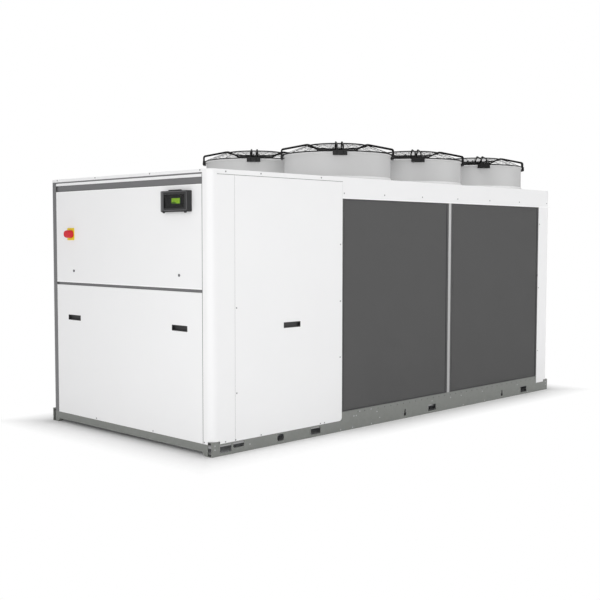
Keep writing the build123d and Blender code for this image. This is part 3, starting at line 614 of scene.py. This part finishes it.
def make_guard_fittings(row, numbers):
    """Rim clips, and motor plates with their bolts."""
    shape = Shape()
    for number in numbers:
        centre = FAN_CENTRES[number]
        plate = [(0.0, 2.4400), (0.112, 2.4400), (0.114, 2.4425), (0.114, 2.4520), (0.110, 2.4555),
                 (0.070, 2.4560), (0.066, 2.4620), (0.060, 2.4635), (0.0, 2.4640)]
        shape.lathe(centre, plate, 48)
        for bolt in range(8):
            turn = 2 * math.pi * (bolt + 0.5) / 8
            spot = centre + Vector((0.092 * math.cos(turn), 0.092 * math.sin(turn), 0))
            shape.lathe(spot, [(0.0, 2.4610), (0.0065, 2.4605), (0.0075, 2.4590), (0.0075, 2.4550)], 6)
        for turn in GUARD_TURNS:
            clip = Shape()
            clip.block((0.4950, -0.063, 2.361), (0.5165, 0.063, 2.4035), 0.003)
            clip.block((0.4760, -0.063, 2.3965), (0.4950, 0.063, 2.4035), 0.002)
            clip.block((0.5165, -0.052, 2.369), (0.5195, -0.030, 2.384), 0.001)
            clip.block((0.5165, 0.030, 2.369), (0.5195, 0.052, 2.384), 0.001)
            spin = Matrix.Rotation(turn, 3, "Z")
            offset = len(shape.points)
            shape.points.extend(centre + spin @ point for point in clip.points)
            shape.faces.extend([[offset + corner for corner in face] for face in clip.faces])
    shape.piece(f"guard_fittings_{row}", WIRE)


BLADE_COUNT = 5
HUB_RADIUS = 0.098
HUB_HEIGHT = 0.165
BLADE_DROP = 0.042
TIP_RADIUS = 0.466
# Radius, sweep in degrees, chord and pitch in degrees of the blade, hub to tip
BLADE_STATIONS = [
    (0.090, 0.0, 0.150, 38.0), (0.160, 2.0, 0.172, 34.5), (0.220, 5.0, 0.190, 31.0),
    (0.290, 9.0, 0.210, 27.5), (0.350, 13.0, 0.225, 25.0), (0.410, 18.0, 0.232, 22.5),
    (TIP_RADIUS, 24.0, 0.235, 20.0),
]


def blade_rows(middle, samples=9):
    rows = []
    for radius, sweep, chord, pitch in BLADE_STATIONS:
        upper, lower = [], []
        tilt = math.radians(pitch)
        for sample in range(samples):
            share = sample / (samples - 1)
            along = (share - 0.5) * chord
            camber = 0.011 * (1 - (2 * share - 1) ** 2)
            half = 0.0042 * math.sqrt(max(0.0, 1 - (2 * share - 1) ** 4)) + 0.0006
            for line, offset in ((upper, camber + half), (lower, camber - half)):
                across = along * math.cos(tilt) - offset * math.sin(tilt)
                height = along * math.sin(tilt) + offset * math.cos(tilt)
                angle = math.radians(sweep) + across / radius
                line.append(middle + Vector((radius * math.cos(angle), radius * math.sin(angle), height)))
        rows.append(upper + lower[::-1])
    return rows


def make_rotor(number):
    """Motor drum with cooling ribs and swept blades that taper towards the tip."""
    name = f"fan_rotor_{number}"
    centre = FAN_CENTRES[number]
    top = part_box(name)[1].z
    blade_middle = centre + Vector((0, 0, top - HUB_HEIGHT / 2 - BLADE_DROP))
    blades = Shape()
    for blade in range(BLADE_COUNT):
        spin = Matrix.Rotation(2 * math.pi * blade / BLADE_COUNT, 3, "Z")
        rows = blade_rows(Vector((0, 0, 0)))
        turned = [[blade_middle + spin @ point for point in row] for row in rows]
        blades.patch(turned, closed_v=True)
        blades.lid(turned[-1])
        blades.lid(list(reversed(turned[0])))
    blades.piece(f"blades_{number}", ROTOR, body=name, replaces=[name])
    drum = Shape()
    bottom = top - HUB_HEIGHT
    profile = [(0.0, bottom), (0.072, bottom), (0.080, bottom + 0.004), (HUB_RADIUS, bottom + 0.022),
               (HUB_RADIUS, top - 0.030), (HUB_RADIUS - 0.004, top - 0.026),
               (HUB_RADIUS - 0.004, top - 0.018), (HUB_RADIUS, top - 0.014), (HUB_RADIUS, top - 0.006),
               (HUB_RADIUS - 0.006, top), (0.0, top)]
    drum.lathe(centre, profile, 64)
    drum.piece(f"drum_{number}", DRUM, body=name)


for row_name, row_numbers in ROWS.items():
    make_bells(row_name, row_numbers)
    make_guards(row_name, row_numbers)
    make_guard_fittings(row_name, row_numbers)
for number in FAN_NUMBERS:
    make_rotor(number)

# Coils: upright fins crossed by flat tubes, in front of the core, which is painted dark as shade for the
# coil's depth
COIL_LOW, COIL_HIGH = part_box("coils")
DIVIDER_LOW, DIVIDER_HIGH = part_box("coil_dividers")
FIN_PITCH = 0.0036
FIN_PROUD = 0.006


def make_fins(side):
    low, high = COIL_LOW, COIL_HIGH
    face = low.y if side == "front" else high.y
    outward = -1 if side == "front" else 1
    fins = Shape()
    spans = ((low.x + 0.026, DIVIDER_LOW.x - 0.026), (DIVIDER_HIGH.x + 0.026, high.x - 0.026))
    for left, right in spans:
        count = int((right - left) / FIN_PITCH)
        for index in range(count):
            x = left + (right - left) * (index + 0.5) / count
            front = face + outward * FIN_PROUD
            back = face + outward * 0.0004
            near, far = sorted((front, back))
            fins.strip((x - 0.0005, near, low.z + 0.012), (x + 0.0005, far, high.z - 0.012))
        rows = int((high.z - low.z) / TUBE_PITCH)
        for index in range(rows):
            z = low.z + 0.018 + (high.z - low.z - 0.036) * index / (rows - 1)
            front = face + outward * (FIN_PROUD - 0.001)
            back = face + outward * 0.0004
            near, far = sorted((front, back))
            fins.strip((left, near, z - 0.0008), (right, far, z + 0.0008))
    fins.piece(f"fins_{side}", FINS, smooth=False)
    frame_shape = Shape()
    for left, right in ((low.x, DIVIDER_LOW.x), (DIVIDER_HIGH.x, high.x)):
        front = face + outward * (FIN_PROUD + 0.001)
        y0, y1 = min(face, front), max(face, front)
        frame_shape.block((left + 0.001, y0, low.z + 0.0005), (left + 0.020, y1, high.z - 0.0005))
        frame_shape.block((right - 0.020, y0, low.z + 0.0005), (right - 0.001, y1, high.z - 0.0005))
        frame_shape.block((left + 0.020, y0, low.z + 0.0005), (right - 0.020, y1, low.z + 0.010))
        frame_shape.block((left + 0.020, y0, high.z - 0.010), (right - 0.020, y1, high.z - 0.0005))
    frame_shape.piece(f"coil_frames_{side}", FRAME_DARK, smooth=False)


for side_name in ("front", "rear"):
    make_fins(side_name)

# Lit screen and keys on the display module
SCREEN_LOW, SCREEN_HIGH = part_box("display_screen")
screen_centre = (SCREEN_LOW + SCREEN_HIGH) / 2 + Vector((0.0, SCREEN_ASIDE, SCREEN_RISE))
screen = Shape()
screen_x = SCREEN_LOW.x - 0.0006
screen.block(
    (screen_x, screen_centre.y - SCREEN_HALF_WIDTH, screen_centre.z - SCREEN_HALF_HEIGHT),
    (screen_x + 0.0004, screen_centre.y + SCREEN_HALF_WIDTH, screen_centre.z + SCREEN_HALF_HEIGHT),
)
screen.piece("lit_screen", SCREEN, smooth=False)
KEY_COLUMN = 0.068
KEY_STEP = 0.024
KEY_PROFILE = [(0.0, 0.0035), (0.0045, 0.0033), (0.0062, 0.002), (0.0062, 0.0)]
keys = Shape()
for column in (-1, 1):
    for key in range(3):
        key_y = (SCREEN_LOW.y + SCREEN_HIGH.y) / 2 + column * KEY_COLUMN
        spot = Vector((SCREEN_LOW.x + 0.0019, key_y, screen_centre.z + (key - 1) * KEY_STEP))
        keys.lathe(spot, KEY_PROFILE, 16, Vector((-1, 0, 0)))
keys.piece("display_keys", SEAL_AND_HOLE_SHADE)


def screw_heads(name, spots, axis, material, radius=0.0062, height=0.0014):
    """Low pan heads seated on a face, all pointing along one axis."""
    heads = Shape()
    profile = [(0.0, height), (radius * 0.55, height * 0.97), (radius * 0.9, height * 0.7),
               (radius, height * 0.25), (radius, -0.0002)]
    for spot in spots:
        heads.lathe(Vector(spot), profile, 14, Vector(axis))
    heads.piece(name, material)


def spread(first, last, count):
    return [first + (last - first) * index / (count - 1) for index in range(count)]


# Screws, by distance from the control end on the long sides and by side on the ends
TRIM_SCREWS = (0.150, 0.510, 1.190)
BAND_SCREWS = (1.471, 2.002, 2.546, 3.100, 3.646, 4.188, 4.730)
LOW_SCREWS = (0.139, 0.241, 0.508, 1.185, 1.235)
for side_name, y, outward in (("front", FRONT, -1), ("rear", REAR, 1)):
    spots = [(LEFT + x, y, TRIM_BOTTOM + 0.021) for x in TRIM_SCREWS]
    spots += [(LEFT + x, y, ROOF - 0.135) for x in BAND_SCREWS]
    spots += [(LEFT + x, y, RAIL_TOP + 0.010) for x in LOW_SCREWS]
    spots += [(LEFT + 0.254, y, z) for z in (0.46, 1.113)]
    spots += [(PLANT_RIGHT - 0.026, y, z) for z in (0.638, 1.113, 1.591)]
    spots += [(RIGHT - 0.209, y, z) for z in (0.44, 1.117, 1.796)]
    screw_heads(f"side_screws_{side_name}", spots, (0, outward, 0), SCREW)
end_spots = [(LEFT, y, TRIM_BOTTOM + 0.030) for y in (-0.98, -0.364, 0.393, 0.98)]
end_spots += [(LEFT, y, RAIL_TOP + 0.013) for y in (-1.016, -0.381, 0.412, 1.016)]
screw_heads("control_end_screws", end_spots, (-1, 0, 0), SCREW)
far_spots = [(RIGHT, y, ROOF - 0.135) for y in (-0.93, -0.31, 0.31, 0.93)]
far_spots += [(RIGHT, y, RAIL_TOP + 0.013) for y in (-0.93, -0.381, 0.412, 0.93)]
far_spots += [(RIGHT, y, SPLIT_TOP + 0.030) for y in (-0.93, 0.0, 0.93)]
screw_heads("far_end_screws", far_spots, (1, 0, 0), SCREW)

# Bright rivets along the aprons and rails, and a row of dark discs at the punched perforations: painted shade
# for the inside of each hole
HOLE_SHADE_PROFILE = [(0.0, 0.0003), (0.0042, 0.0003), (0.0046, 0.0)]
for side_name, y, outward in (("front", FRONT, -1), ("rear", REAR, 1)):
    rivets = [(LEFT + x, y, 0.112) for x in (1.607, 1.638, 1.916, 2.721, 3.019, 3.190, 3.555, 4.20)]
    rivets += [(LEFT + x, y, 0.015) for x in (1.437, 1.591, 1.841, 3.229, 3.599, 4.40)]
    rivets += [(LEFT + x, y, 0.144) for x in (1.684, 1.836)]
    rivets += [(LEFT + 1.954, y, 0.054), (LEFT + 0.389, y, 0.048)]
    rivets += [(LEFT + 0.033, y, z) for z in (0.054, 0.084)] + [(RIGHT - 0.033, y, z) for z in (0.054, 0.084)]
    screw_heads(f"rail_rivets_{side_name}", rivets, (0, outward, 0), BRIGHT, 0.0055, 0.0012)
    # Dark discs at the apron perforations: painted shade inside each punched hole
    hole_shades = Shape()
    for x in spread(1.66, 4.54, 33):
        hole_shades.lathe(Vector((LEFT + x, y, 0.141)), HOLE_SHADE_PROFILE, 12, Vector((0, outward, 0)))
    hole_shades.piece(f"apron_hole_shades_{side_name}", SEAL_AND_HOLE_SHADE)

# Embossed frames on the side rails
for side_name, y, outward in (("front", FRONT, -1), ("rear", REAR, 1)):
    frames = Shape()
    for left, right in ((1.687, 1.787), (1.829, 1.929), (3.300, 3.400), (3.430, 3.530)):
        x0, x1, z0, z1 = LEFT + left, LEFT + right, 0.050, 0.084
        near, far = sorted((y, y + outward * 0.0008))
        frames.strip((x0, near, z0), (x1, far, z0 + 0.003))
        frames.strip((x0, near, z1 - 0.003), (x1, far, z1))
        frames.strip((x0, near, z0 + 0.003), (x0 + 0.003, far, z1 - 0.003))
        frames.strip((x1 - 0.003, near, z0 + 0.003), (x1, far, z1 - 0.003))
    frames.piece(f"rail_embossings_{side_name}", BASE, smooth=False)

# Seals that show as dark lines between posts and panels, and a dark strip under the roof trim that is a
# painted shadow line
seals = Shape()
for sign in (-1, 1):
    near, far = sorted((sign * (POST_EDGE - 0.0024), sign * (POST_EDGE + 0.0024)))
    seals.strip((LEFT - 0.0005, near, RAIL_TOP + 0.002), (LEFT + 0.004, far, TRIM_BOTTOM))
    seals.strip((RIGHT - 0.004, near, RAIL_TOP + 0.002), (RIGHT + 0.0005, far, BAND_BOTTOM))
for y, inward in ((FRONT, 1), (REAR, -1)):
    near, far = sorted((y + inward * 0.0004, y + inward * 0.004))
    seals.strip((SIDE_SEAM - 0.0011, near, RAIL_TOP + 0.002), (SIDE_SEAM + 0.0011, far, TRIM_BOTTOM - 0.002))
    # Painted shadow: a dark strip along the underside of the roof trim
    near, far = sorted((y - inward * 0.0003, y + inward * 0.0010))
    seals.strip((LEFT + 0.062, near, TRIM_BOTTOM - 0.0019), (PLANT_RIGHT - 0.002, far, TRIM_BOTTOM + 0.0014))
seals.piece("panel_seals_and_trim_shadow", GASKET_AND_SHADOW_LINE, smooth=False)
# Painted shadow: a dark strip in the recessed line of the roof trim on the control end
groove_shadow = Shape()
groove_shadow.strip(
    (LEFT + 0.0006, -POST_EDGE + 0.003, ROOF - 0.0359),
    (LEFT + 0.0038, POST_EDGE - 0.003, ROOF - 0.0241),
)
groove_shadow.piece("trim_groove", DARK, smooth=False)

# Folded edges of the sheet panels: strips of brighter white, a painted highlight for the light the folds
# catch
for end_name, x, outward in (("control", LEFT, -1), ("far", RIGHT, 1)):
    edges = Shape()
    near, far = sorted((x + outward * 0.0003, x - outward * 0.0020))
    for bottom, top in ((SPLIT_TOP, SPLIT_TOP + 0.009), (HEADER_BOTTOM - 0.006, HEADER_BOTTOM)):
        if outward < 0 or top < BAND_BOTTOM:
            edges.strip((near, -POST_EDGE + 0.004, bottom), (far, POST_EDGE - 0.004, top))
    edges.piece(f"{end_name}_folded_edge_highlights", EDGE, smooth=False)
for side_name, y, outward in (("front", FRONT, -1), ("rear", REAR, 1)):
    edges = Shape()
    near, far = sorted((y + outward * 0.0003, y - outward * 0.0020))
    # Painted highlight along the band's folded lower edge
    edges.strip((PLANT_RIGHT + 0.002, near, BAND_BOTTOM), (RIGHT - 0.002, far, BAND_BOTTOM + 0.009))
    edges.piece(f"band_edge_highlight_{side_name}", EDGE, smooth=False)
    trims = Shape()
    for left in (DIVIDER_LOW.x, DIVIDER_HIGH.x - 0.006):
        face = DIVIDER_LOW.y if outward < 0 else DIVIDER_HIGH.y
        low_y, high_y = sorted((face, face + outward * 0.0008))
        trims.strip((left, low_y, DIVIDER_LOW.z + 0.001), (left + 0.006, high_y, DIVIDER_HIGH.z - 0.001))
    trims.piece(f"divider_seals_{side_name}", FRAME_DARK, smooth=False)

# Main switch: a chunky rounded handle on the yellow plate
GRIP_LOW, GRIP_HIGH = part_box("switch_handle")
# Share of the handle's depth, then its width and height there as shares
GRIP_SECTIONS = [(0.0, 1.00, 1.00), (0.45, 1.00, 1.00), (0.72, 0.975, 0.965), (0.90, 0.925, 0.90),
                 (0.98, 0.86, 0.81), (1.0, 0.80, 0.74)]
GRIP_HALF_HEIGHT = 0.034
grip = Shape()
grip_middle = (GRIP_LOW + GRIP_HIGH) / 2
grip_rows = []
for share, wide, tall in GRIP_SECTIONS:
    ring = []
    half_length = (GRIP_HIGH.y - GRIP_LOW.y) / 2 * wide
    half_height = GRIP_HALF_HEIGHT * tall
    for step in range(48):
        angle = 2 * math.pi * step / 48
        lean_y = math.copysign(abs(math.cos(angle)) ** 0.75, math.cos(angle))
        lean_z = math.copysign(abs(math.sin(angle)) ** 0.75, math.sin(angle))
        x = GRIP_HIGH.x + (GRIP_LOW.x - GRIP_HIGH.x) * share
        ring.append(Vector((x, grip_middle.y + half_length * lean_y, grip_middle.z + half_height * lean_z)))
    grip_rows.append(ring)
grip.patch(grip_rows, closed_v=True)
grip.lid(grip_rows[-1])
grip.lid(list(reversed(grip_rows[0])))
grip.piece("switch_grip", RED, body="switch_knob", replaces=["switch_handle"])

# Cover of the display: a raised bead, and a paler strip on the hinge edge that is a painted highlight of the
# light the edge catches
COVER_LOW, COVER_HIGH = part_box("display_cover")
bead = Shape()
bead_x = COVER_LOW.x - 0.0002
outline = []
corner = 0.010
for turn, (sign_y, sign_z) in enumerate(((1, 1), (-1, 1), (-1, -1), (1, -1))):
    y = (COVER_HIGH.y - 0.031 if sign_y > 0 else COVER_LOW.y + 0.010) - sign_y * corner
    z = (COVER_HIGH.z - 0.015 if sign_z > 0 else COVER_LOW.z + 0.021) - sign_z * corner
    for step in range(5):
        angle = math.pi / 2 * (turn + step / 4)
        outline.append((bead_x + 0.0020, y + corner * math.cos(angle), z + corner * math.sin(angle)))
bead.tube(outline, 0.0026, 8, closed=True)
# Paler strip on the hinge edge: a painted highlight of the light it catches
bead.strip(
    (COVER_LOW.x + 0.0001, COVER_HIGH.y - 0.024, COVER_LOW.z + 0.017),
    (COVER_LOW.x + 0.004, COVER_HIGH.y - 0.001, COVER_HIGH.z - 0.010),
)
bead.piece("window_bead_and_edge_highlight", BEAD_AND_EDGE_HIGHLIGHT, body="display_door")

# Camera at the photograph's angle
CAMERA_PLACE = (LEFT - 4.7313, FRONT - 5.5722, 1.6367)
CAMERA_YAW = 45.51
CAMERA_PITCH = 3.55
CAMERA_ROLL = 0.07
camera_data = bpy.data.cameras.new("camera")
camera_data.lens = 59.1
camera_data.sensor_width = 36.0
camera_data.clip_end = 200.0
camera = bpy.data.objects.new("camera", camera_data)
turn_down = Matrix.Rotation(math.radians(90 - CAMERA_PITCH), 4, "X")
turn_side = Matrix.Rotation(math.radians(-CAMERA_YAW), 4, "Z")
roll = Matrix.Rotation(math.radians(CAMERA_ROLL), 4, "Z")
camera.matrix_world = Matrix.Translation(CAMERA_PLACE) @ turn_side @ turn_down @ roll
bpy.context.scene.collection.objects.link(camera)
bpy.context.scene.camera = camera


# Studio: pale floor, white surround, soft lamps above, at the long side, the end and the corner
FLOOR_REACH = 40.0
SHADOW_REACH = 0.38
UNDER_INSET = 0.25


def make_floor():
    shape = Shape()
    reach = FLOOR_REACH
    plan = ((-reach, -reach), (reach, -reach), (reach, reach), (-reach, reach))
    shape.lid([Vector((x, y, 0)) for x, y in plan])
    mesh = bpy.data.meshes.new("floor")
    mesh.from_pydata([tuple(point) for point in shape.points], [], shape.faces)
    finish = Finish("studio_floor", roughness=0.9)
    place = finish.node("ShaderNodeNewGeometry", output="Position")
    split = finish.node("ShaderNodeSeparateXYZ", values={0: place})
    x, y = [Value(finish, split.socket.node.outputs[axis]) for axis in range(2)]
    beside = finish.node("ShaderNodeMath", {"operation": "MAXIMUM"}, {0: abs(x) - RIGHT, 1: abs(y) - REAR})
    under = (abs(x) < RIGHT - UNDER_INSET) * (abs(y) < REAR - UNDER_INSET)
    fade = (beside / SHADOW_REACH + under).clamped()
    finish.set(base_color=finish.mix(finish.noise(2.0, 3.0), grey(0.93), grey(0.95)))
    seen = finish.node("ShaderNodeLightPath", output="Is Camera Ray")
    glossy = finish.node("ShaderNodeLightPath", output="Is Glossy Ray")
    through = finish.node("ShaderNodeLightPath", output="Is Transmission Ray")
    visible = (seen + glossy + through).clamped()
    glow = finish.node("ShaderNodeEmission", values={"Color": grey(1.0), "Strength": 1.0})
    surface = Value(finish, finish.shader.outputs[0])
    mixed = finish.node("ShaderNodeMixShader", values={0: visible * fade, 1: surface, 2: glow})
    finish.tree.links.new(mixed.socket, finish.tree.nodes["Material Output"].inputs[0])
    mesh.materials.append(finish.material)
    floor = bpy.data.objects.new("floor", mesh)
    bpy.context.scene.collection.objects.link(floor)


def make_world(level):
    world = bpy.data.worlds.new("studio")
    bpy.context.scene.world = world
    world.use_nodes = True
    tree = world.node_tree
    background = tree.nodes["Background"]
    background.inputs["Color"].default_value = (1.0, 1.0, 1.0, 1.0)
    background.inputs["Strength"].default_value = level
    shown = tree.nodes.new("ShaderNodeBackground")
    shown.inputs["Color"].default_value = (1.0, 1.0, 1.0, 1.0)
    shown.inputs["Strength"].default_value = 1.0
    path = tree.nodes.new("ShaderNodeLightPath")
    either = tree.nodes.new("ShaderNodeMath")
    either.operation = "MAXIMUM"
    tree.links.new(path.outputs["Is Camera Ray"], either.inputs[0])
    tree.links.new(path.outputs["Is Transmission Ray"], either.inputs[1])
    mix = tree.nodes.new("ShaderNodeMixShader")
    tree.links.new(either.outputs[0], mix.inputs[0])
    tree.links.new(background.outputs[0], mix.inputs[1])
    tree.links.new(shown.outputs[0], mix.inputs[2])
    tree.links.new(mix.outputs[0], tree.nodes["World Output"].inputs[0])


def make_lamp(name, place, target, size, power):
    data = bpy.data.lights.new(name, "AREA")
    data.shape = "RECTANGLE"
    data.size = size[0]
    data.size_y = size[1]
    data.energy = power
    lamp = bpy.data.objects.new(name, data)
    lamp.location = place
    direction = Vector(target) - Vector(place)
    lamp.rotation_euler = direction.to_track_quat("-Z", "Y").to_euler()
    bpy.context.scene.collection.objects.link(lamp)


make_floor()
make_world(0.48)
make_lamp("top_lamp", (0.0, 0.0, 7.5), (0.0, 0.0, 1.0), (5.0, 3.0), 260.0)
make_lamp("side_lamp", (5.5, -8.2, 3.0), (1.5, 0.0, 1.2), (6.0, 4.0), 215.0)
make_lamp("end_lamp", (-8.5, -0.8, 2.8), (0.0, 0.0, 1.0), (4.0, 4.0), 88.0)
make_lamp("corner_lamp", (-7.4, -6.6, 2.6), (-1.5, -0.5, 1.0), (4.0, 4.0), 185.0)
bpy.context.scene.view_settings.view_transform = "Standard"
